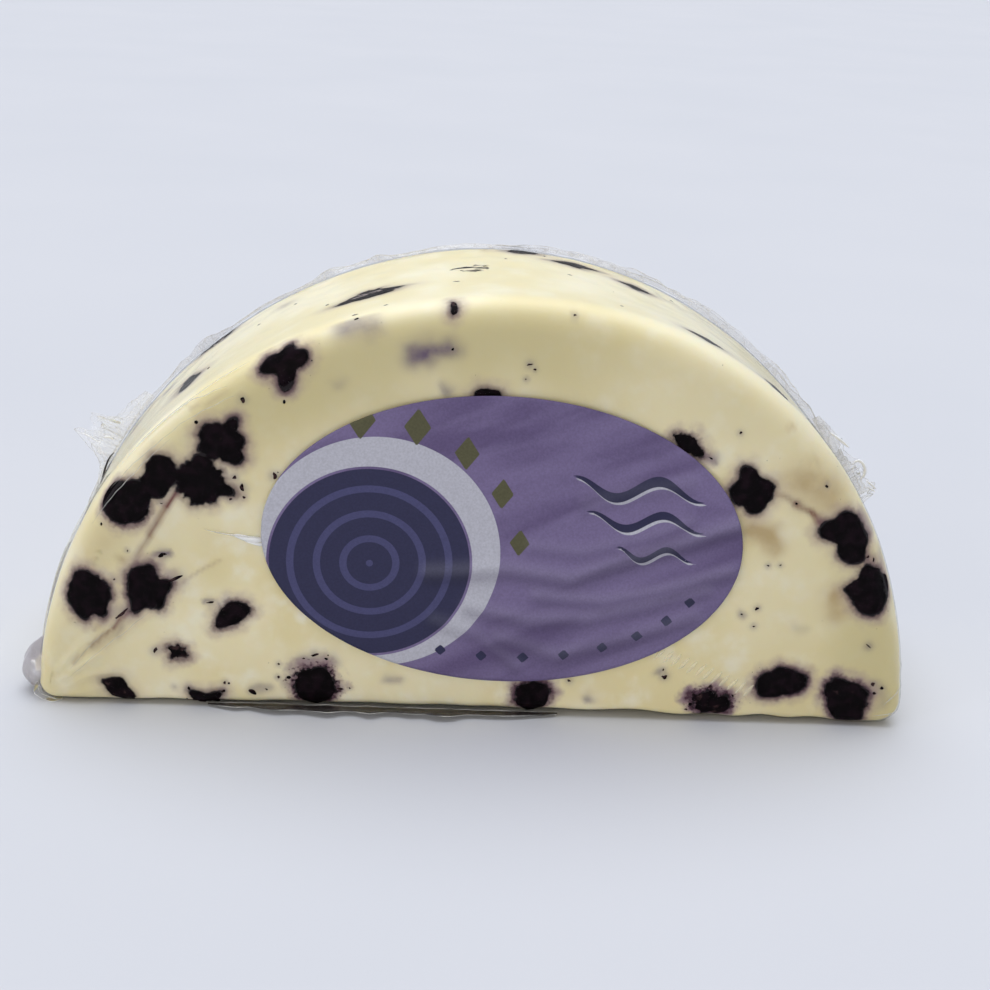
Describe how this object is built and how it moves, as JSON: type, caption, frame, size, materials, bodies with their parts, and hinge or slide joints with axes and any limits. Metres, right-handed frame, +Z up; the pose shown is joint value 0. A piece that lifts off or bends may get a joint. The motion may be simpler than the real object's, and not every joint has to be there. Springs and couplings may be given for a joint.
{
  "type": "vacuum packed half wheel of blueberry cheese",
  "caption": "Half wheel of creamy white cheese set with whole berries, shrunk in clear film with an oval label on its flat face, standing on its cut face.",
  "frame": {"origin": "middle of the cut face that the half wheel stands on", "axes": "+X along the cut, to the right when the label faces the viewer; +Y from the labelled face to the back; +Z up"},
  "size_m": [0.2205, 0.0675, 0.1063],
  "materials": {
    "cheese": "creamy white cheese under tight clear film, glossy",
    "berry": "crushed dark berries, near black with a purple edge, moist",
    "label": "printed paper, satin, slightly wrinkled",
    "film": "clear crumpled shrink film, glossy"
  },
  "bodies": {
    "root": {"packed_cheese": "cheese", "berry_front_1": "berry", "berry_front_2": "berry", "berry_front_3": "berry", "berry_front_4": "berry", "berry_front_5": "berry", "berry_front_6": "berry", "berry_front_7": "berry", "berry_front_8": "berry", "berry_front_9": "berry", "berry_front_10": "berry", "berry_front_11": "berry", "berry_front_12": "berry", "berry_front_13": "berry", "berry_front_14": "berry", "berry_front_15": "berry", "berry_front_16": "berry", "berry_front_17": "berry", "berry_front_18": "berry", "berry_front_19": "berry", "berry_front_20": "berry", "berry_front_21": "berry", "berry_front_22": "berry", "berry_rim_1": "berry", "berry_rim_2": "berry", "berry_rim_3": "berry", "berry_rim_4": "berry", "berry_rim_5": "berry", "berry_rim_6": "berry", "berry_rim_7": "berry", "berry_rim_8": "berry", "berry_rim_9": "berry", "berry_rim_10": "berry", "berry_rim_11": "berry", "berry_rim_12": "berry", "berry_back_1": "berry", "berry_back_2": "berry", "berry_back_3": "berry", "berry_back_4": "berry", "berry_back_5": "berry", "berry_back_6": "berry", "berry_back_7": "berry", "berry_back_8": "berry", "berry_back_9": "berry", "berry_back_10": "berry", "berry_back_11": "berry", "berry_cut_1": "berry", "berry_cut_2": "berry", "berry_cut_3": "berry", "berry_cut_4": "berry", "berry_cut_5": "berry", "berry_cut_6": "berry", "label": "label", "film_seam": "film", "film_ear_left": "film", "film_ear_right": "film", "film_pillow": "film", "film_base_fold": "film"}
  },
  "joints": []
}
